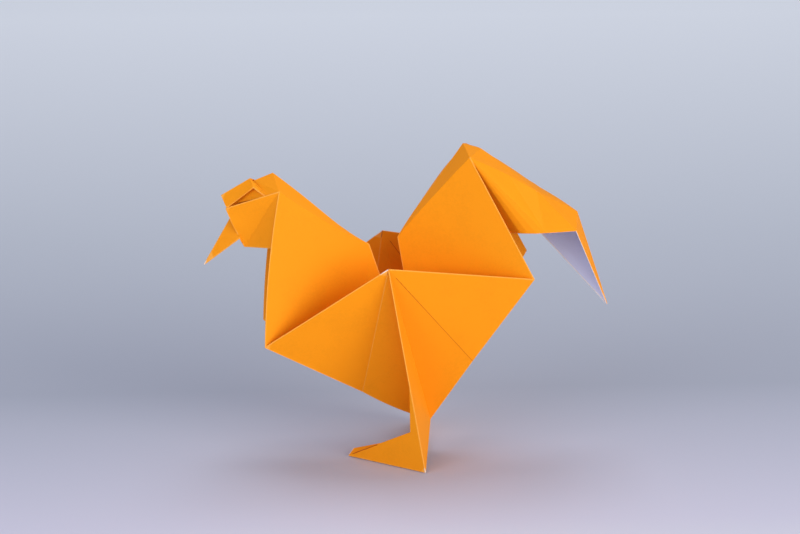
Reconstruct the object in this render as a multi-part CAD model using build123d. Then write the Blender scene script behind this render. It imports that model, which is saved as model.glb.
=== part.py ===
from build123d import *
from math import cos, radians, sin, sqrt, tan
import os

# Origami rooster: one square of coloured paper, folded and pulled open.
# Head towards -X, tail towards +X, left and right halves mirrored in Y = 0.
# Sizes are millimetres, angles degrees. The sheet's centre is the lowest
# corner of the body, and every fold is worked out from there.

# Paper
PAPER = 0.15            # one thickness of the sheet
LAYERS = 2              # thicknesses that lie together in each panel

# Body: eight creases of one length run from the sheet's centre to a ring of
# corners. The paper between two neighbours is an eighth of a turn, less the
# degree or two that it gives where it bends
SPOKE = 56.0                # centre to each corner of the ring
SECTOR_ANGLE = 45.0         # paper angle between neighbouring creases
NECK_SPINE_ANGLE = 18.3     # neck spine forward of vertical
TAIL_SPINE_ANGLE = 9.6      # tail spine forward of vertical
WALL_TOP_ANGLE = 14.1       # top corner of the side wall forward of vertical
WALL_TOP_SPREAD = 18.1      # top corner of the side wall from the mid-plane
NECK_PANEL_ANGLE = 43.7     # neck spine to chest corner, as pulled open
FRONT_WALL_ANGLE = 44.9     # top corner of the wall to chest corner
TAIL_PANEL_ANGLE = 43.1     # tail spine to rump corner
REAR_WALL_ANGLE = 44.0      # top corner of the wall to rump corner
WALL_DENT = 0.6             # how far the wall's slanting creases sink inwards

# Legs: a fin of two flanks hangs from the middle crease of each wall
FIN_TURN = 11.3         # fin forward of straight sideways
ANKLE_RISE = 12.8       # heel to where the foot leaves the outer flank
INNER_ANKLE = 13.0      # heel to where the foot leaves the inner flank
INNER_ANKLE_TURN = 26.0 # inner flank's edge from the leg's spine
CROTCH = 7.2            # sheet's centre to the inner flank, along the keel
FOOT_LENGTH = 25.8      # heel to toe
LEFT_TOE_IN = 34.8      # left foot turned towards the mid-plane
RIGHT_TOE_IN = 88.0     # right foot, which lies in under the body
LEFT_TOE_GAP = (1.5, 1.4, 1.5)      # second toe corner from the first
RIGHT_TOE_GAP = (-1.6, -0.6, 1.5)   # the same on the mirrored foot
SHIN = 0.1              # share of the foot's upper edge that the shin's crease ends at
SHIN_TOP = 0.51         # share of the leg's spine, from the heel, that it starts at

# Neck and head
NECK_FRONT = 44.8       # chest corner to throat corner
NECK_FRONT_TURN = 43.1  # front edge from the line chest corner to spine top
NAPE_LENGTH = 34.6      # spine top to crown
NAPE_RISE = 38.4        # nape above horizontal
CHEEK_ROOT = 0.36       # share of the neck's front edge that carries the cheek
CHEEK_TUCK = 0.03       # how far that root lies inside the neck panel
PLEAT_END = 0.15        # where the comb's pleat ends, from the roof's side to the throat
PLEAT_BACK = 0.29       # and its rear corner

# Corners of the head: forward of the crown, out from the mid-plane, down
CHEEK_HALF = 2.5        # half the width of the cheeks and the beak
COMB_HALF = 2.8         # half the width of the comb
ROOF_BREAK = (5.3, 0, 2.2)
ROOF_SIDE = (3.1, 4.8, 5.5)
FOREHEAD = (13.2, 0, 9.2)
CHEEK_FRONT = (13.3, CHEEK_HALF, 9.4)
CHEEK_NOTCH = (12.0, CHEEK_HALF, 13.0)
JAW = (8.3, 3.4, 20.5)
COMB_FRONT = (14.5, 0, 6.3)
COMB_BACK = (6.4, 0, 1.5)
COMB_HEM_FRONT = (13.1, COMB_HALF, 9.0)
COMB_HEM_BACK = (5.6, COMB_HALF, 3.3)
BEAK_ROOT = (7.6, 0, 4.9)
BEAK_HEM = (9.6, CHEEK_HALF, 18.3)
BEAK_TIP = (19.7, 0, 26.7)

# Tail
TAIL_REAR = 39.5        # rump corner to tail shoulder
TAIL_REAR_TURN = 49.8   # rear edge from the line rump corner to spine top
TAIL_LENGTH = 33.1      # spine top to tail peak
TAIL_RISE = 56.2        # tail's front ridge above horizontal
FLARE = 0.64            # share of the plume's lower edge that the flared wing takes

# Corners of the plume: behind the tail's peak, out from the mid-plane, down
HOOD_HALF = 5.5         # half the width of the hood at its creases
HOOD_FRONT = (5.0, 0, 1.6)
HOOD_BEND = (10.5, 0, 5.7)
HOOD_CREASE_FRONT = (12.4, HOOD_HALF, 8.0)
HOOD_CREASE_REAR = (20.6, HOOD_HALF, 12.9)
HOOD_END = (32.6, 0, 20.8)
HEM_FRONT = (11.7, 5.6, 25.0)
HEM_REAR = (31.4, 10.4, 23.2)
PLUME_TIP = (41.6, 0, 48.6)

WALL = PAPER * LAYERS
KEEL_SHARE = tan(radians(SECTOR_ANGLE / 2))


def leaning(angle, half_width=0.0):
    """Spoke end that leans forward by an angle and stands off the mid-plane."""
    rise = sqrt(SPOKE**2 - half_width**2)
    return Vector(-rise * sin(radians(angle)), -half_width, rise * cos(radians(angle)))


def ring_corner(first, first_angle, second, second_angle, side):
    """Spoke end at an angle from each of two other spoke ends."""
    a, b = first.normalized(), second.normalized()
    cos_a, cos_b, cos_ab = cos(radians(first_angle)), cos(radians(second_angle)), a.dot(b)
    middle = (a * (cos_a - cos_b * cos_ab) + b * (cos_b - cos_a * cos_ab)) / (1 - cos_ab**2)
    across = a.cross(b).normalized() * sqrt(1 - middle.dot(middle))
    return (middle + across * side) * SPOKE


def swing(hinge, start, towards, length, angle):
    """Point at a length from the hinge, turned from the start in their plane."""
    along = (start - hinge).normalized()
    out = towards - hinge
    out = (out - along * out.dot(along)).normalized()
    return hinge + (along * cos(radians(angle)) + out * sin(radians(angle))) * length


def between(a, b, share):
    return a + (b - a) * share


def facet(*corners):
    """A flat panel of the sheet. Its outline is grown by half a thickness, with
    the corners cut square, so that panels on both sides of a fold close round it."""
    a, b, c = corners[:3]
    plane = Plane(origin=a, x_dir=b - a, z_dir=(b - a).cross(c - a))
    flat = [plane.to_local_coords(corner) for corner in corners]
    outline = []
    for before, corner, after in zip(flat[-1:] + flat[:-1], flat, flat[1:] + flat[:1]):
        for edge in (corner - before, after - corner):
            outward = Vector(edge.Y, -edge.X).normalized() * WALL / 2
            outline.append((corner.X + outward.X, corner.Y + outward.Y))
    panel = extrude(make_face(Polyline(*outline, close=True)), WALL / 2, both=True)
    return plane * panel


def other_side(point):
    return Vector(point.X, -point.Y, point.Z)


# Ring of the body, left side
centre = Vector(0, 0, 0)
spine_neck = leaning(NECK_SPINE_ANGLE)
spine_tail = leaning(TAIL_SPINE_ANGLE)
wall_top = leaning(WALL_TOP_ANGLE, WALL_TOP_SPREAD)
chest = ring_corner(spine_neck, NECK_PANEL_ANGLE, wall_top, FRONT_WALL_ANGLE, -1)
rump = ring_corner(spine_tail, TAIL_PANEL_ANGLE, wall_top, REAR_WALL_ANGLE, 1)

# The slanting creases of the wall end on the keel folds, a little sunk in
inward = (chest - wall_top).cross(rump - wall_top).normalized()
inward = inward * (1 if inward.Y > 0 else -1) * WALL_DENT
keel_front = between(centre, chest, KEEL_SHARE) + inward
keel_rear = between(centre, rump, KEEL_SHARE) + inward

# Neck: the panel from chest to spine, and the roof strip up to the nape
throat = swing(chest, spine_neck, spine_neck - (keel_front - chest), NECK_FRONT, NECK_FRONT_TURN)
crown = spine_neck + Vector(
    -NAPE_LENGTH * cos(radians(NAPE_RISE)), 0, NAPE_LENGTH * sin(radians(NAPE_RISE))
)

# Tail: the same pair of panels towards the rear
shoulder = swing(rump, spine_tail, spine_tail - (keel_rear - rump), TAIL_REAR, TAIL_REAR_TURN)
peak = spine_tail + Vector(
    TAIL_LENGTH * cos(radians(TAIL_RISE)), 0, TAIL_LENGTH * sin(radians(TAIL_RISE))
)

# Leg: fin of the outer flank, then the inner flank and the foot between them
fin_side = swing(centre, wall_top, Vector(0, -SPOKE, 0), SPOKE, 90)
fin_front = wall_top.cross(fin_side).normalized()
fin_front = fin_front * (-1 if fin_front.X > 0 else 1)
heel = (
    fin_side * cos(radians(FIN_TURN)) + fin_front * SPOKE * sin(radians(FIN_TURN))
) * KEEL_SHARE
ankle = between(heel, wall_top, ANKLE_RISE / (wall_top - heel).length)
crotch = between(centre, keel_front, CROTCH / (keel_front - centre).length)
inner_ankle = swing(heel, centre, crotch, INNER_ANKLE, INNER_ANKLE_TURN)
shin_top = between(heel, wall_top, SHIN_TOP)


def leg(toe_in, toe_gap):
    """A left leg with its foot turned in; the right one is its mirror image."""
    turn = radians(toe_in)
    toe = heel + Vector(-FOOT_LENGTH * cos(turn), FOOT_LENGTH * sin(turn), 0)
    toe_inner = toe + Vector(*toe_gap)
    shin = between(ankle, toe, SHIN)
    return [
        facet(wall_top, centre, heel),
        facet(centre, crotch, inner_ankle),
        facet(centre, inner_ankle, heel),
        facet(ankle, shin_top, shin),
        facet(heel, ankle, toe),
        facet(heel, toe, inner_ankle),
        facet(toe, toe_inner, inner_ankle),
    ]


body_facets = [
    facet(chest, wall_top, keel_front),
    facet(wall_top, centre, keel_front),
    facet(wall_top, keel_rear, centre),
    facet(wall_top, rump, keel_rear),
    facet(chest, throat, spine_neck, keel_front),
    facet(keel_front, spine_neck, centre),
    facet(throat, crown, spine_neck),
    facet(rump, shoulder, spine_tail, keel_rear),
    facet(keel_rear, spine_tail, centre),
    facet(shoulder, peak, spine_tail),
]


def from_crown(forward, half_width, down):
    return crown + Vector(-forward, -half_width, -down)


# Head: a roof that falls from the crown to the forehead, a cheek in front of
# it on each side, the pleated comb over it, and the beak below
roof_break = from_crown(*ROOF_BREAK)
roof_side = from_crown(*ROOF_SIDE)
forehead = from_crown(*FOREHEAD)
cheek_front = from_crown(*CHEEK_FRONT)
cheek_notch = from_crown(*CHEEK_NOTCH)
jaw = from_crown(*JAW)
cheek_root = between(throat, chest, CHEEK_ROOT) + (spine_neck - throat) * CHEEK_TUCK
comb_front = from_crown(*COMB_FRONT)
comb_back = from_crown(*COMB_BACK)
comb_hem_front = from_crown(*COMB_HEM_FRONT)
comb_hem_back = from_crown(*COMB_HEM_BACK)
pleat_end = between(roof_side, throat, PLEAT_END)
pleat_back = between(roof_side, throat, PLEAT_BACK)
beak_root = from_crown(*BEAK_ROOT)
beak_hem = from_crown(*BEAK_HEM)
beak_tip = from_crown(*BEAK_TIP)
head_facets = [
    facet(crown, roof_break, throat),
    facet(roof_break, roof_side, throat),
    facet(roof_break, forehead, roof_side),
    facet(jaw, throat, cheek_front, cheek_notch),
    facet(throat, jaw, cheek_root),
    facet(comb_front, comb_back, comb_hem_back, comb_hem_front),
    facet(comb_back, comb_hem_back, pleat_end),
    facet(comb_back, pleat_end, pleat_back),
    facet(beak_root, beak_tip, beak_hem),
    facet(beak_root, beak_hem, jaw),
]


def from_peak(back, half_width, down):
    return peak + Vector(back, -half_width, -down)


# Plume: a hood that comes out between the tail panels and bends down at its
# end. On the right side the end keeps its full width and flares
hood_front = from_peak(*HOOD_FRONT)
hood_bend = from_peak(*HOOD_BEND)
hood_crease_front = from_peak(*HOOD_CREASE_FRONT)
hood_crease_rear = from_peak(*HOOD_CREASE_REAR)
hood_end = from_peak(*HOOD_END)
hem_front = from_peak(*HEM_FRONT)
hem_rear = from_peak(*HEM_REAR)
plume_tip = from_peak(*PLUME_TIP)
tail_facets = [
    facet(peak, hood_front, shoulder),
    facet(hood_front, hood_bend, shoulder),
    facet(hood_bend, hood_crease_front, shoulder),
    facet(hood_bend, hood_crease_rear, hood_crease_front),
    facet(hood_bend, hood_end, hood_crease_rear),
    facet(shoulder, hood_crease_front, hem_front),
    facet(hood_crease_front, hood_crease_rear, hem_front),
    facet(hood_crease_rear, hem_rear, hem_front),
    facet(hood_crease_rear, hood_end, hem_rear),
    facet(hood_end, plume_tip, hem_rear),
]
flare_corner = between(other_side(hem_rear), other_side(hem_front), FLARE)
flare = facet(other_side(hem_rear), flare_corner, plume_tip)

# The two halves and the flared wing make one sheet, stood on its feet
regions = [Part() + facets for facets in (body_facets, head_facets, tail_facets)]
left_half = Part() + regions + leg(LEFT_TOE_IN, LEFT_TOE_GAP)
right_half = Part() + regions + leg(RIGHT_TOE_IN, RIGHT_TOE_GAP)
sheet = left_half + mirror(right_half, about=Plane.XZ) + flare
box = sheet.bounding_box()
sheet = Pos(-box.center().X, -box.center().Y, -box.min.Z) * sheet
sheet.label = "folded_sheet"

os.makedirs("parts", exist_ok=True)
export_step(sheet, "parts/folded_sheet.step")
print("solids", len(sheet.solids()), "volume", round(sheet.volume, 1))
print("size", box.size, "centre of mass", sheet.center(CenterOf.MASS))
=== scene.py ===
from math import cos, exp, radians, sin, sqrt, tan

import bmesh
import bpy
import numpy as np
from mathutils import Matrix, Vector, noise


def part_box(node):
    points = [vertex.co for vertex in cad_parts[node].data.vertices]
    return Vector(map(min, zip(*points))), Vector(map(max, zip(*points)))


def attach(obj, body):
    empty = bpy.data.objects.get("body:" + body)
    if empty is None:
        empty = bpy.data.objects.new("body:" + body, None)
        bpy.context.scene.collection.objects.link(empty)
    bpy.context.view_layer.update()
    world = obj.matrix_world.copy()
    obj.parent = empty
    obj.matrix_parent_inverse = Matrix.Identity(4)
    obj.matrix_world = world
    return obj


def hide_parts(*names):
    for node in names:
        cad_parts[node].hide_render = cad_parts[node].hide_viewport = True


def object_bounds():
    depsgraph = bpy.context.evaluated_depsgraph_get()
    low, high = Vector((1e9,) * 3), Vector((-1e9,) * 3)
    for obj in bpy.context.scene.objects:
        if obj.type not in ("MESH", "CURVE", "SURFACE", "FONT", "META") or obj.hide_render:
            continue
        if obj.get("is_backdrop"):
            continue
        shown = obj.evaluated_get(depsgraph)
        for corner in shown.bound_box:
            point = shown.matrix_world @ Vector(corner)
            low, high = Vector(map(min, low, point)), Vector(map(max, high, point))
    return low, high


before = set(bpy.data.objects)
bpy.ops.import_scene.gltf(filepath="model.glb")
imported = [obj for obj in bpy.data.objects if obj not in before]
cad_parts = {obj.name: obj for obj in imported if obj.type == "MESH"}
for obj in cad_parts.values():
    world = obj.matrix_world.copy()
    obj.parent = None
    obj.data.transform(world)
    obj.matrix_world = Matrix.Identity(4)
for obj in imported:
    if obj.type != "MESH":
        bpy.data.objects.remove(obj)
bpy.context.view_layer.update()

# Body: the middle of one square of origami paper. Eight creases of one length run
# from the sheet's centre, the lowest corner of the body, to a ring of corners, and
# the paper between them makes the pulled-open walls and the two keels below.
MM = 0.001
SPOKE = 56.0 * MM               # centre to each corner of the ring
SECTOR_ANGLE = 45.0             # paper angle between neighbouring creases
NECK_SPINE_ANGLE = 18.3         # neck spine forward of vertical
TAIL_SPINE_ANGLE = 9.6          # tail spine forward of vertical
WALL_TOP_ANGLE = 14.1           # top corner of the side wall forward of vertical
WALL_TOP_SPREAD = 18.1 * MM     # and from the mid-plane
NECK_PANEL_ANGLE = 43.7         # neck spine to chest corner, as pulled open
FRONT_WALL_ANGLE = 44.9         # top corner of the wall to chest corner
TAIL_PANEL_ANGLE = 43.1         # tail spine to rump corner
REAR_WALL_ANGLE = 44.0          # top corner of the wall to rump corner
WALL_DENT = 0.6 * MM            # how far the lower ends of the wall's slanting creases sink in
FRONT_PRESS = Vector((0.20, 3.80, -2.30)) * MM      # how the front walls' lower corners are pressed in
REAR_PULL = Vector((-0.06, -1.14, 0.37)) * MM       # how the rear walls' are pulled out
KEEL_SHARE = tan(radians(SECTOR_ANGLE / 2))

WALL = 0.3 * MM                 # two layers of paper lie together in each panel
RIM_SHARE = 0.45                # share of the wall that the rim's rounding takes on each side
FLAT_FACING = 0.98              # a face counts as flat if its cosine to the panel is above this
GRID = 1.4 * MM                 # spacing of the cuts that let a panel bend
SPRING = 6.0 * MM               # how far from a fold the paper takes to spring flat
RIPPLE = 0.10 * MM              # height of the paper's slow waves
RIPPLE_LENGTH = 14.0 * MM       # their length
DYED, WHITE = 0, 1              # the sheet's two faces

WALL_CREASE_SHADOW = 0.93               # share of the rear wall's slanting crease that is darkened with painted shade
TOP_WHITE = 0.06                # share of the wall's front edge that is white, at its top
TOP_CREASE_SHADOW = 0.05                # share of the front wall's slanting crease that is darkened there with painted shade

panel_meshes = []
crest_wear_and_highlight = []
cut_edges = []
crease_shadow_lines = []


def leaning(angle, half_width=0.0):
    """Crease end that leans towards the head and stands off the mid-plane."""
    rise = sqrt(SPOKE**2 - half_width**2)
    return Vector((-rise * sin(radians(angle)), -half_width, rise * cos(radians(angle))))


def ring_corner(first, first_angle, second, second_angle, side):
    """Crease end at a paper angle from each of two others."""
    a, b = first.normalized(), second.normalized()
    cos_a, cos_b, cos_ab = cos(radians(first_angle)), cos(radians(second_angle)), a.dot(b)
    middle = (a * (cos_a - cos_b * cos_ab) + b * (cos_b - cos_a * cos_ab)) / (1 - cos_ab**2)
    across = a.cross(b).normalized() * sqrt(1 - middle.dot(middle))
    return (middle + across * side) * SPOKE


def between(a, b, share):
    """Point at a share of the way from one corner to another."""
    return a + (b - a) * share


def on_side(point, side):
    """The point itself for 1, or its mirror image for -1."""
    return Vector((point.x, point.y * side, point.z))


def gap_to(point, a, b):
    """Distance from a point to the line between two corners."""
    along = (point - a).dot(b - a) / (b - a).length_squared
    return (point - between(a, b, min(max(along, 0), 1))).length


def rounded(corners, winding):
    """A panel's outline half a wall further out, with its corners rounded."""
    points = []
    for before, here, after in zip(corners[-1:] + corners[:-1], corners, corners[1:] + corners[:1]):
        leave = (here - before).cross(winding).normalized()
        enter = (after - here).cross(winding).normalized()
        points += [here + leave.slerp(enter, turn) * WALL / 2 for turn in (0, 0.5, 1)]
    return points


def slab(points, winding):
    """A panel as thick as the wall, with a round rim all the way about it."""
    bm = bmesh.new()
    face = bm.faces.new([bm.verts.new(p - winding * WALL / 2) for p in rounded(points, winding)])
    raised = bmesh.ops.extrude_face_region(bm, geom=[face])["geom"]
    raised = [v for v in raised if isinstance(v, bmesh.types.BMVert)]
    bmesh.ops.translate(bm, verts=raised, vec=winding * WALL)
    rims = [e for e in bm.edges if abs((e.verts[1].co - e.verts[0].co).dot(winding)) < WALL / 2]
    bmesh.ops.bevel(bm, geom=rims, offset=WALL * RIM_SHARE, segments=3, profile=0.5,
                    affect="EDGES", material=-1)
    bmesh.ops.recalc_face_normals(bm, faces=bm.faces)
    return bm


def spring(bm, points, winding):
    """Cuts a slab across both ways and lets it wave, except along its folds."""
    run = (points[1] - points[0]).normalized()
    for direction in (run, winding.cross(run)):
        reach = [(p - points[0]).dot(direction) for p in points]
        cuts = int((max(reach) - min(reach)) / GRID)
        for cut in range(1, cuts + 1):
            place = min(reach) + (max(reach) - min(reach)) * cut / (cuts + 1)
            bmesh.ops.bisect_plane(bm, geom=bm.verts[:] + bm.edges[:] + bm.faces[:],
                                   plane_co=points[0] + direction * place, plane_no=direction)
    for vert in bm.verts:
        foot = vert.co - winding * (vert.co - points[0]).dot(winding)
        inset = min(gap_to(foot, a, b) for a, b in zip(points, points[1:] + points[:1]))
        height = noise.noise(foot / RIPPLE_LENGTH) * RIPPLE
        vert.co += winding * height * (1 - exp(-inset / SPRING))


def panel(*corners, sides=(1, -1), back_to=None):
    """A panel of the left half and its mirror image. Two of them close round the
    fold between them with their round rims. The sheet's white back shows on the
    face that is turned to the point back_to, where there is one."""
    for side in sides:
        points = [on_side(corner, side) for corner in corners]
        winding = (points[1] - points[0]).cross(points[2] - points[0]).normalized()
        bm = slab(points, winding)
        flat = bm.faces.layers.int.new("flat")
        for face in bm.faces:
            face[flat] = abs(face.normal.dot(winding)) > FLAT_FACING
            turned_in = back_to is not None and face.normal.dot(on_side(back_to, side) - points[0]) > 0
            face.material_index = WHITE if turned_in else DYED
        spring(bm, points, winding)
        for face in bm.faces:
            face.smooth = True
        for edge in bm.edges:
            edge.smooth = sum(face[flat] for face in edge.link_faces) != 1
        mesh = bpy.data.meshes.new("panel")
        bm.to_mesh(mesh)
        bm.free()
        panel_meshes.append(mesh)


def add_fold_lines(group, *corners, sides=(1, -1)):
    """Adds the lines from corner to corner to the pale crests, partly wear and partly a painted
    highlight, to the white cut edges or to the dark lines of painted crease shadow."""
    for a, b in zip(corners, corners[1:]):
        group.extend((on_side(a, side), on_side(b, side)) for side in sides)


centre = Vector((0, 0, 0))
spine_neck = leaning(NECK_SPINE_ANGLE)
spine_tail = leaning(TAIL_SPINE_ANGLE)
wall_top = leaning(WALL_TOP_ANGLE, WALL_TOP_SPREAD)
chest = ring_corner(spine_neck, NECK_PANEL_ANGLE, wall_top, FRONT_WALL_ANGLE, -1)
rump = ring_corner(spine_tail, TAIL_PANEL_ANGLE, wall_top, REAR_WALL_ANGLE, 1)
inward = (chest - wall_top).cross(rump - wall_top).normalized()
inward = inward * (1 if inward.y > 0 else -1) * WALL_DENT
front_flat = between(centre, chest, KEEL_SHARE) + inward
rear_flat = between(centre, rump, KEEL_SHARE) + inward
keel_front = front_flat + FRONT_PRESS
keel_rear = rear_flat + REAR_PULL

panel(chest, wall_top, keel_front)
panel(wall_top, centre, keel_front)
panel(wall_top, keel_rear, centre)
panel(wall_top, rump, keel_rear)
panel(keel_front, spine_neck, centre)
panel(keel_rear, spine_tail, centre)
# Pale lines along the folds' crests: partly wear, partly a painted highlight on the rounded fold.
add_fold_lines(crest_wear_and_highlight, chest, wall_top, rump)
add_fold_lines(crest_wear_and_highlight, chest, keel_front, centre, keel_rear, rump)
add_fold_lines(crest_wear_and_highlight, keel_front, wall_top)
# The rear wall's slanting crease and the top of the front one get dark lines of painted shade, where
# the creases fall into shade.
add_fold_lines(crease_shadow_lines, keel_rear, between(keel_rear, wall_top, WALL_CREASE_SHADOW))
add_fold_lines(cut_edges, between(wall_top, chest, TOP_WHITE), wall_top)
add_fold_lines(crease_shadow_lines, wall_top, between(wall_top, keel_front, TOP_CREASE_SHADOW))

# Legs: paper of the same sheet. A fin of two flanks hangs from the middle crease of
# each wall, and its lower corner is folded forward between the flanks to make a
# pointed foot. The left foot shows, and the right one lies in under the body.
FIN_TURN = 11.3                 # fin forward of straight sideways
ANKLE_RISE = 12.8 * MM          # heel to where the foot leaves the outer flank
INNER_ANKLE = 13.0 * MM         # heel to where the foot leaves the inner flank
INNER_ANKLE_TURN = 26.0         # inner flank's edge from the leg's spine
CROTCH = 5.2 * MM               # sheet's centre to the inner flank, along the keel
FOOT_LENGTH = 25.8 * MM         # heel to toe
LEFT_TOE_IN = 34.8              # foot turned towards the mid-plane
RIGHT_TOE_IN = 88.0
LEFT_TOE_GAP = Vector((1.5, 1.4, 1.5)) * MM         # second toe corner from the first
RIGHT_TOE_GAP = Vector((-1.6, -0.6, 1.5)) * MM      # the same, before it is mirrored
LEFT_TUCK = Vector((0, 0, 0)) * MM                  # how far the inner ankle is pressed back
RIGHT_TUCK = Vector((1.6, 0, 0)) * MM
SHIN = 0.1                      # share of the foot's upper edge that the shin's crease ends at
SHIN_TOP = 0.42                 # share of the leg's spine, from the heel, that it starts at
TOE_SLIT_SHADOW = (0.06, 0.42)        # shares of the foot's upper edge between which it is darkened with painted shade, for the slit between the foot's layers
HEEL_WHITE = 0.02               # share of the leg's spine that is white, at the heel


def swing(hinge, start, towards, length, angle):
    """Point at a length from the hinge, turned from the start in their plane."""
    along = (start - hinge).normalized()
    out = towards - hinge
    out = (out - along * out.dot(along)).normalized()
    return hinge + (along * cos(radians(angle)) + out * sin(radians(angle))) * length


fin_side = swing(centre, wall_top, Vector((0, -SPOKE, 0)), SPOKE, 90)
fin_front = wall_top.cross(fin_side).normalized()
fin_front = fin_front * (-1 if fin_front.x > 0 else 1)
heel = (fin_side * cos(radians(FIN_TURN)) + fin_front * SPOKE * sin(radians(FIN_TURN))) * KEEL_SHARE
ankle = between(heel, wall_top, ANKLE_RISE / (wall_top - heel).length)
shin_top = between(heel, wall_top, SHIN_TOP)
crotch = between(centre, keel_front, CROTCH / (keel_front - centre).length)
flat_ankle = swing(heel, centre, crotch, INNER_ANKLE, INNER_ANKLE_TURN)

for side, toe_in, toe_gap, tuck in (
    (1, LEFT_TOE_IN, LEFT_TOE_GAP, LEFT_TUCK),
    (-1, RIGHT_TOE_IN, RIGHT_TOE_GAP, RIGHT_TUCK),
):
    inner_ankle = flat_ankle + tuck
    toe = heel + Vector((-cos(radians(toe_in)), sin(radians(toe_in)), 0)) * FOOT_LENGTH
    toe_inner = toe + toe_gap
    shin = between(ankle, toe, SHIN)
    panel(wall_top, centre, heel, sides=(side,))
    panel(centre, crotch, inner_ankle, sides=(side,))
    panel(centre, inner_ankle, heel, sides=(side,))
    panel(ankle, shin_top, shin, sides=(side,))
    panel(heel, ankle, toe, sides=(side,))
    panel(heel, toe, inner_ankle, sides=(side,))
    panel(toe, toe_inner, inner_ankle, sides=(side,))
    add_fold_lines(crest_wear_and_highlight, wall_top, heel, centre, sides=(side,))
    add_fold_lines(crest_wear_and_highlight, heel, toe, sides=(side,))
    # A dark line of painted shade on the foot's upper edge stands for the shaded slit between its
    # layers.
    add_fold_lines(crease_shadow_lines, *(between(toe, ankle, share) for share in TOE_SLIT_SHADOW), sides=(side,))
    add_fold_lines(cut_edges, toe, toe_inner, sides=(side,))
    add_fold_lines(cut_edges, heel, between(heel, wall_top, HEEL_WHITE), sides=(side,))

# Neck: paper of the same sheet. The front panel stands up from the chest, and its
# upper edge is folded in as a narrow strip that climbs along the nape to the crown.
NECK_FRONT = 44.8 * MM          # chest corner to throat corner
NECK_FRONT_TURN = 43.1          # front edge from the line chest corner to spine top
NAPE_LENGTH = 34.6 * MM         # spine top to crown
NAPE_RISE = 38.4                # nape above horizontal

throat = swing(chest, spine_neck, spine_neck - (front_flat - chest), NECK_FRONT, NECK_FRONT_TURN)
crown = spine_neck + Vector((-cos(radians(NAPE_RISE)), 0, sin(radians(NAPE_RISE)))) * NAPE_LENGTH

panel(chest, throat, spine_neck, keel_front)
panel(throat, crown, spine_neck)
add_fold_lines(crest_wear_and_highlight, chest, throat)
add_fold_lines(crest_wear_and_highlight, centre, spine_neck, crown)

# Head: the sheet's front corner, folded back and forth. A roof falls from the crown
# to the forehead, a cheek flap lies in front of it on each side, the pleated comb
# stands over it, and the corner's own tip hangs below as the beak.
CHEEK_ROOT = 0.35               # share of the neck's front edge that carries the cheek
CHEEK_TUCK = 0.03               # how far that root lies inside the neck panel
PLEAT_END = 0.15                # where the comb's pleat ends, from the roof's side to the throat
PLEAT_BACK = 0.29               # and its rear corner
CHEEK_HALF = 2.5                # half the width of the cheeks and the beak, in millimetres
COMB_HALF = 2.8                 # half the width of the comb, in millimetres
BEAK_TOP_WHITE = 0.05           # shares of the beak's two edges that are white, at its tip
BEAK_HEM_WHITE = 0.08


def from_crown(forward, half_width, down):
    """Corner placed in millimetres forward of the crown, out and down."""
    return crown + Vector((-forward, -half_width, -down)) * MM


roof_break = from_crown(5.3, 0, 2.2)
roof_side = from_crown(3.1, 4.8, 5.5)
forehead = from_crown(13.2, 0, 9.2)
cheek_front = from_crown(13.3, CHEEK_HALF, 9.4)
cheek_notch = from_crown(12.0, CHEEK_HALF, 13.0)
jaw = from_crown(8.2, 1.8, 21.0)
cheek_root = between(throat, chest, CHEEK_ROOT) + (spine_neck - throat) * CHEEK_TUCK
comb_front = from_crown(14.5, 0, 6.3)
comb_back = from_crown(6.4, 0, 1.5)
comb_hem_front = from_crown(13.1, COMB_HALF, 9.0)
comb_hem_back = from_crown(5.6, COMB_HALF, 3.3)
pleat_end = between(roof_side, throat, PLEAT_END)
pleat_back = between(roof_side, throat, PLEAT_BACK)
beak_root = from_crown(7.6, 0, 4.9)
beak_hem = from_crown(9.6, CHEEK_HALF, 18.3)
beak_tip = from_crown(19.7, 0, 26.7)

panel(crown, roof_break, throat)
panel(roof_break, roof_side, throat)
panel(roof_break, forehead, roof_side)
panel(jaw, throat, cheek_front, cheek_notch)
panel(throat, jaw, cheek_root)
panel(comb_front, comb_back, comb_hem_back, comb_hem_front)
panel(comb_back, comb_hem_back, pleat_end)
panel(comb_back, pleat_end, pleat_back)
panel(beak_root, beak_tip, beak_hem)
panel(beak_root, beak_hem, jaw)
add_fold_lines(crest_wear_and_highlight, throat, cheek_front, cheek_notch, jaw, cheek_root)
add_fold_lines(crest_wear_and_highlight, comb_hem_front, comb_front, comb_back)
add_fold_lines(crest_wear_and_highlight, comb_hem_front, comb_hem_back, pleat_end)
add_fold_lines(crest_wear_and_highlight, beak_root, beak_tip, beak_hem)
add_fold_lines(cut_edges, between(beak_tip, beak_root, BEAK_TOP_WHITE), beak_tip,
     between(beak_tip, beak_hem, BEAK_HEM_WHITE))

# Tail: the sheet's rear corner. The rear panel and its strip mirror the neck, and a
# hood comes out between them and bends down into the plume. On the right the plume
# keeps its width and flares, so that the white back of the paper shows.
TAIL_REAR = 39.5 * MM           # rump corner to tail shoulder
TAIL_REAR_TURN = 49.8           # rear edge from the line rump corner to spine top
TAIL_LENGTH = 33.1 * MM         # spine top to tail peak
TAIL_RISE = 56.2                # tail's front ridge above horizontal
FLARE = 0.64                    # share of the plume's lower edge that the flared wing takes
HOOD_HALF = 5.5                 # half the width of the hood at its creases, in millimetres

shoulder = swing(rump, spine_tail, spine_tail - (rear_flat - rump), TAIL_REAR, TAIL_REAR_TURN)
peak = spine_tail + Vector((cos(radians(TAIL_RISE)), 0, sin(radians(TAIL_RISE)))) * TAIL_LENGTH


def from_peak(back, half_width, down):
    """Corner placed in millimetres behind the tail's peak, out and down."""
    return peak + Vector((back, -half_width, -down)) * MM


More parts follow.
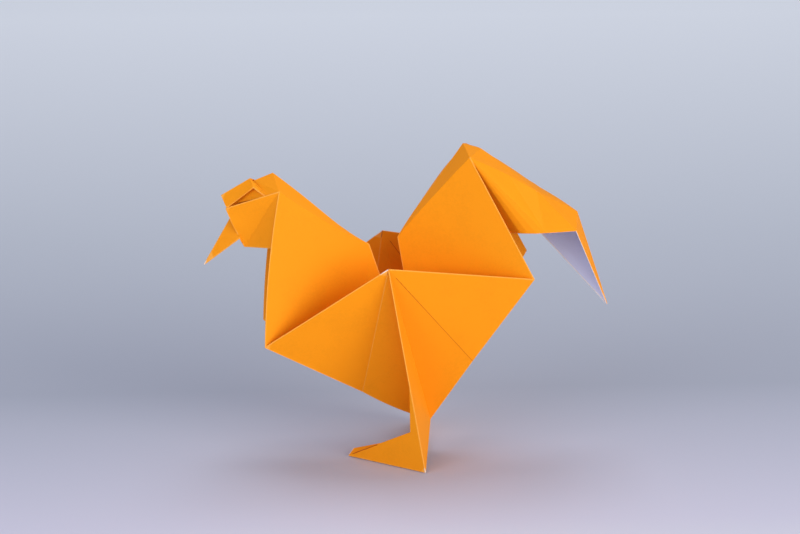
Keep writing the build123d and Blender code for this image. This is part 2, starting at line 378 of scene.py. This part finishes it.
hood_front = from_peak(5.0, 0, 1.6)
hood_bend = from_peak(10.5, 0, 5.7)
hood_crease_front = from_peak(12.4, HOOD_HALF, 8.0)
hood_crease_rear = from_peak(20.6, HOOD_HALF, 12.9)
hood_end = from_peak(32.6, 0, 20.8)
hem_front = from_peak(11.7, 5.6, 25.0)
hem_rear = from_peak(31.4, 10.4, 23.2)
plume_tip = from_peak(41.6, 0, 48.6)
flare_corner = between(on_side(hem_rear, -1), on_side(hem_front, -1), FLARE)
hollow = from_peak(23.0, 0, 24.0)       # a point inside the hood, which the white back faces

panel(rump, shoulder, spine_tail, keel_rear)
panel(shoulder, peak, spine_tail)
panel(peak, hood_front, shoulder)
panel(hood_front, hood_bend, shoulder)
panel(hood_bend, hood_crease_front, shoulder)
panel(hood_bend, hood_crease_rear, hood_crease_front, back_to=hollow)
panel(hood_bend, hood_end, hood_crease_rear, back_to=hollow)
panel(hood_crease_rear, hood_end, hem_rear, back_to=hollow)
panel(hood_end, plume_tip, hem_rear, back_to=hollow)
panel(shoulder, hood_crease_front, hem_front, sides=(-1,), back_to=hollow)
panel(hood_crease_front, hood_crease_rear, hem_front, sides=(-1,), back_to=hollow)
panel(hood_crease_rear, hem_rear, hem_front, sides=(-1,), back_to=hollow)
panel(on_side(hem_rear, -1), flare_corner, plume_tip, sides=(1,), back_to=hollow)

# The left side of the hood rounds in towards the tail panel, in narrow panels that
# fan out from the shoulder.
fold_in = [
    from_peak(22.6, 10.0, 23.8),
    from_peak(20.2, 9.9, 23.9),
    from_peak(17.9, 9.4, 24.0),
    from_peak(15.8, 8.5, 24.2),
    from_peak(12.2, 5.4, 24.9),
]
panel(hood_crease_front, hood_crease_rear, fold_in[0], sides=(1,), back_to=hollow)
panel(hood_crease_rear, hem_rear, fold_in[0], sides=(1,), back_to=hollow)
panel(shoulder, hood_crease_front, fold_in[0], sides=(1,), back_to=hollow)
for outer, inner in zip(fold_in, fold_in[1:]):
    panel(shoulder, outer, inner, sides=(1,), back_to=hollow)
add_fold_lines(crest_wear_and_highlight, rump, shoulder)
add_fold_lines(crest_wear_and_highlight, centre, spine_tail, peak)
add_fold_lines(crest_wear_and_highlight, hood_end, plume_tip)
add_fold_lines(crest_wear_and_highlight, plume_tip, hem_rear)
add_fold_lines(cut_edges, on_side(hem_rear, -1), flare_corner, plume_tip, sides=(1,))

# The sheet: all the panels are one piece of paper, joined in one mesh and stood on its feet. Sprung
# paper bows between its corners, and each point keeps its distance from the folds, for the lines of
# wear, painted highlight and painted shade that show along them.
SAG_REACH = 4.0 * MM            # how far a bowed fold takes the paper with it
NUDGE_REACH = 7.0 * MM          # how far a moved corner does
KEEL_BOW = Vector((0, 0, -0.4)) * MM
NECK_FRONT_BOW = Vector((-0.9, 0, 0)) * MM
NECK_TOP_BOW = Vector((0, 0, -0.8)) * MM
TAIL_TOP_BOW = Vector((-0.4, 0, 0)) * MM
SHOULDER_MOVE = Vector((0, -2.0, -0.8)) * MM        # right tail shoulder, inwards and down
CREASE_MOVE = Vector((0, -0.8, -0.8)) * MM          # right rear crease of the hood, the same

join = bmesh.new()
for mesh in panel_meshes:
    join.from_mesh(mesh)
    bpy.data.meshes.remove(mesh)
paper_mesh = bpy.data.meshes.new("folded_paper")
join.to_mesh(paper_mesh)
join.free()
places = np.empty(len(paper_mesh.vertices) * 3, np.float32)
paper_mesh.vertices.foreach_get("co", places)
places = places.reshape(-1, 3).astype(float)


def gaps(points, a, b):
    """Each point's distance from the line between two corners, and its share along it."""
    a, b = np.array(a), np.array(b)
    along = np.clip((points - a) @ (b - a) / ((b - a) @ (b - a)), 0, 1)
    return np.linalg.norm(points - a - along[:, None] * (b - a), axis=1), along


def sagged(points, a, b, bow):
    """The points with the fold between two corners bowed, most at its middle."""
    for side in (1, -1):
        gap, along = gaps(points, on_side(a, side), on_side(b, side))
        pull = 4 * along * (1 - along) * np.exp(-((gap / SAG_REACH) ** 2))
        points = points + pull[:, None] * np.array(on_side(bow, side))
    return points


def nudged(points, corner, move):
    """The points with one corner of the sheet moved, and the paper round it."""
    near = np.linalg.norm(points - np.array(corner), axis=1)
    return points + np.exp(-((near / NUDGE_REACH) ** 2))[:, None] * np.array(move)


for name, lines in (("crest_wear_and_highlight_gap", crest_wear_and_highlight), ("cut_gap", cut_edges), ("crease_shadow_gap", crease_shadow_lines)):
    nearest = np.min([gaps(places, a, b)[0] for a, b in lines], axis=0)
    layer = paper_mesh.attributes.new(name, "FLOAT", "POINT")
    layer.data.foreach_set("value", nearest.astype(np.float32) / MM)

for a, b, bow in (
    (keel_front, centre, KEEL_BOW),
    (chest, throat, NECK_FRONT_BOW),
    (throat, spine_neck, NECK_TOP_BOW),
    (shoulder, spine_tail, TAIL_TOP_BOW),
):
    places = sagged(places, a, b, bow)
places = nudged(places, on_side(shoulder, -1), SHOULDER_MOVE)
places = nudged(places, on_side(hood_crease_rear, -1), CREASE_MOVE)

solid_low, solid_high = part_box("folded_sheet")
low, high = places.min(axis=0), places.max(axis=0)
stand = Vector(((solid_low.x + solid_high.x - low[0] - high[0]) / 2, 0, solid_low.z - low[2]))
places = places + np.array(stand)
paper_mesh.vertices.foreach_set("co", places.astype(np.float32).ravel())
paper_mesh.update()
paper = bpy.data.objects.new("folded_paper", paper_mesh)
bpy.context.collection.objects.link(paper)

# Its finish: machine-made paper of 80 g/m2, dyed on one face and white on the other.
# To the eye it is matt with a faint mottle, and white at the sheet's cut edge and where a corner is
# rubbed. Along fold crests it is paler, partly wear and partly a painted highlight, and along deep
# creases and slits it is darker, a painted shade.
FIBRE_CLUMP = 0.8 * MM          # single fibres are too fine to show, so clumps of them are drawn
CLOUD = 9 * MM                  # size of the dye's slow mottle
MOTTLE_LOW, MOTTLE_HIGH = 0.75, 1.25    # the two noises together, at full mottle and at none
MOTTLE_SHADE = 0.96             # the face's colour at full mottle, as a share
FIBRE_DEPTH = 0.05 * MM
FOLD_LINE_FULL = 0.16                # millimetres from a fold to where its line of wear, painted highlight or painted shade starts to fade
CUT_COLOUR = "#F4E9DC"
MIX_SHARE, MIX_FROM, MIX_TO, MIX_RESULT = 0, 6, 7, 2    # a Mix node's sockets for colours


def linear(hex_colour):
    """sRGB hex value as the linear colour that a shader takes."""
    parts = [int(hex_colour[i:i + 2], 16) / 255 for i in (1, 3, 5)]
    return [c / 12.92 if c <= 0.04045 else ((c + 0.055) / 1.055) ** 2.4 for c in parts] + [1.0]


def add(tree, kind, links=(), **settings):
    """Adds a node. A setting is the node's own if it has one of that name, and a
    socket's otherwise, with _ for a space. Links pair a socket with an output."""
    node = tree.nodes.new(kind)
    for name, value in settings.items():
        if hasattr(node, name):
            setattr(node, name, value)
        else:
            node.inputs[name.replace("_", " ")].default_value = value
    for socket, output in links:
        tree.links.new(output, node.inputs[socket])
    return node


def paper_material(name, hex_face, hex_crest_wear_and_highlight, hex_crease_shadow):
    """One face of the paper, in its own colour, that of its crests (wear and painted highlight) and
    that of its lines of painted crease shadow.
    """
    material = bpy.data.materials.new(name)
    material.use_nodes = True
    tree = material.node_tree
    tree.nodes.clear()
    where = add(tree, "ShaderNodeTexCoord").outputs["Object"]
    fibre = add(tree, "ShaderNodeTexNoise", [("Vector", where)], Scale=1 / FIBRE_CLUMP, Detail=5.0,
                Roughness=0.65).outputs["Fac"]
    cloud = add(tree, "ShaderNodeTexNoise", [("Vector", where)], Scale=1 / CLOUD,
                Detail=2.0).outputs["Fac"]
    mottle = add(tree, "ShaderNodeMath", [(0, fibre), (1, cloud)], operation="ADD").outputs["Value"]
    ramp = add(tree, "ShaderNodeValToRGB", [("Fac", mottle)])
    ramp.color_ramp.elements[0].position = MOTTLE_LOW
    ramp.color_ramp.elements[1].position = MOTTLE_HIGH
    ramp.color_ramp.elements[0].color = [c * MOTTLE_SHADE for c in linear(hex_face)[:3]] + [1]
    ramp.color_ramp.elements[1].color = linear(hex_face)
    colour = ramp.outputs["Color"]
    # Each kind of line along a fold has its attribute, its colour, its strength on the fold, and the
    # distance in millimetres where it has faded: the pale crests, partly wear and partly a painted
    # highlight, the white cut edges, and the dark lines of painted crease shadow.
    for gap, hex_line, strength, faded in (
        ("crest_wear_and_highlight_gap", hex_crest_wear_and_highlight, 0.45, 0.32),
        ("cut_gap", CUT_COLOUR, 0.8, 0.30),
        ("crease_shadow_gap", hex_crease_shadow, 0.8, 0.28),
    ):
        edge = add(tree, "ShaderNodeAttribute", attribute_name=gap).outputs["Fac"]
        line_share = add(tree, "ShaderNodeMapRange", [("Value", edge)], From_Min=FOLD_LINE_FULL, From_Max=faded,
                   To_Min=strength, To_Max=0.0).outputs["Result"]
        mix = add(tree, "ShaderNodeMix", [(MIX_SHARE, line_share), (MIX_FROM, colour)], data_type="RGBA")
        mix.inputs[MIX_TO].default_value = linear(hex_line)
        colour = mix.outputs[MIX_RESULT]
    bump = add(tree, "ShaderNodeBump", [("Height", fibre)], Strength=0.15,
               Distance=FIBRE_DEPTH).outputs["Normal"]
    shader = add(tree, "ShaderNodeBsdfPrincipled", [("Base Color", colour), ("Normal", bump)],
                 Roughness=0.7, IOR=1.4, Specular_IOR_Level=0.25)
    add(tree, "ShaderNodeOutputMaterial", [("Surface", shader.outputs["BSDF"])])
    return material


# Each face's colours: its own, that of its crests (partly wear, partly painted highlight) and that of
# its painted crease shadow.
paper_mesh.materials.append(paper_material("dyed_origami_paper", "#FA980A", "#FFBE5E", "#B03A00"))
paper_mesh.materials.append(paper_material("white_paper_back", "#DCE0F4", "#F4F0F0", "#B0B0BC"))

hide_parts("folded_sheet")
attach(paper, "root")

# Stage: a pale tabletop that the rooster stands on. It is matt to the eye, with a soft shadow, and its
# colour changes with the depth, by the share of the way from its near line to its far one. These
# colours are painted light and shade: darker in a band behind the rooster, darkest a quarter of the
# way back, and paler at the near line and most at the far one.
STAGE_HALF = 2.5
STAGE_DROP = 0.0002             # how far it lies below the feet
STAGE_NEAR, STAGE_FAR = -0.10, 0.50
# Depth shares and colours: the darker middle stops are painted shade behind the rooster, the pale far
# stop painted light.
STAGE_PAINTED_SHADES = (
    (0.0, "#DEDFE6"),
    (0.07, "#CECCDB"),
    (0.25, "#AAAEBA"),
    (0.5, "#BFC4CC"),
    (1.0, "#E9EDF0"),
)

stage_mesh = bpy.data.meshes.new("stage")
bm = bmesh.new()
bmesh.ops.create_grid(bm, x_segments=1, y_segments=1, size=STAGE_HALF)
for vert in bm.verts:
    vert.co.z = -STAGE_DROP
bm.to_mesh(stage_mesh)
bm.free()
stage = bpy.data.objects.new("stage", stage_mesh)
bpy.context.collection.objects.link(stage)

table = bpy.data.materials.new("pale_tabletop")
table.use_nodes = True
tree = table.node_tree
tree.nodes.clear()
where = add(tree, "ShaderNodeTexCoord").outputs["Object"]
depth = add(tree, "ShaderNodeSeparateXYZ", [("Vector", where)]).outputs["Y"]
share = add(tree, "ShaderNodeMapRange", [("Value", depth)], From_Min=STAGE_NEAR,
            From_Max=STAGE_FAR).outputs["Result"]
ramp = add(tree, "ShaderNodeValToRGB", [("Fac", share)])
ramp.color_ramp.elements[0].color = linear(STAGE_PAINTED_SHADES[0][1])
ramp.color_ramp.elements[1].color = linear(STAGE_PAINTED_SHADES[-1][1])
for place, hex_colour in STAGE_PAINTED_SHADES[1:-1]:
    ramp.color_ramp.elements.new(place).color = linear(hex_colour)
shader = add(tree, "ShaderNodeBsdfPrincipled", [("Base Color", ramp.outputs["Color"])], Roughness=0.8)
add(tree, "ShaderNodeOutputMaterial", [("Surface", shader.outputs["BSDF"])])
stage_mesh.materials.append(table)
stage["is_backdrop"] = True

# Light: an even, slightly blue light from all round fills the shadows. Two low lamps
# stand at the sides, a weaker one near the camera and one above and behind, all of
# them square and soft. Their places are in metres from the point the camera looks at.
ROOM_COLOUR = "#DFE5F9"
ROOM_LIGHT = 0.40
LAMP_WIDTH = 0.7
AIM = Vector((-8.72, 0, 46.21)) * MM    # that point, from the sheet's centre

world = bpy.data.worlds.new("room light")
bpy.context.scene.world = world
world.use_nodes = True
world.node_tree.nodes["Background"].inputs["Color"].default_value = linear(ROOM_COLOUR)
world.node_tree.nodes["Background"].inputs["Strength"].default_value = ROOM_LIGHT

target = stand + AIM
for name, place, watts, hex_colour in (
    ("window", (0.9, -0.8, 0.3), 9.0, "#FFFAF2"),
    ("lamp", (-0.9, -0.8, 0.4), 5.0, "#F8F8FF"),
    ("front", (0.35, -1.15, 0.4), 3.0, "#FFFFFF"),
    ("ceiling", (0.05, 0.45, 1.15), 6.0, "#F4F6FF"),
):
    light = bpy.data.lights.new(name, "AREA")
    light.size = LAMP_WIDTH
    light.energy = watts
    light.color = linear(hex_colour)[:3]
    lamp = bpy.data.objects.new(name, light)
    bpy.context.collection.objects.link(lamp)
    lamp.location = target + Vector(place)
    lamp.rotation_euler = Vector(place).to_track_quat("Z", "Y").to_euler()

# Camera: a long lens that looks down a little on the rooster's left side, from just
# forward of square to it. Angles are in degrees, the distance in metres, and the
# lens and its sensor in millimetres.
CAMERA_AZIMUTH = -2.94
CAMERA_RISE = 18.05
CAMERA_DISTANCE = 1.12
LENS_LENGTH = 176.87
SENSOR_WIDTH = 36
CLIP_END = 20

lens = bpy.data.cameras.new("camera")
lens.lens = LENS_LENGTH
lens.sensor_width = SENSOR_WIDTH
lens.clip_end = CLIP_END
camera = bpy.data.objects.new("camera", lens)
bpy.context.collection.objects.link(camera)
away = Vector((
    sin(radians(CAMERA_AZIMUTH)) * cos(radians(CAMERA_RISE)),
    -cos(radians(CAMERA_AZIMUTH)) * cos(radians(CAMERA_RISE)),
    sin(radians(CAMERA_RISE)),
))
camera.location = target + away * CAMERA_DISTANCE
camera.rotation_euler = away.to_track_quat("Z", "Y").to_euler()
bpy.context.scene.camera = camera
bpy.context.scene.view_settings.view_transform = "Standard"

low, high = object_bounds()
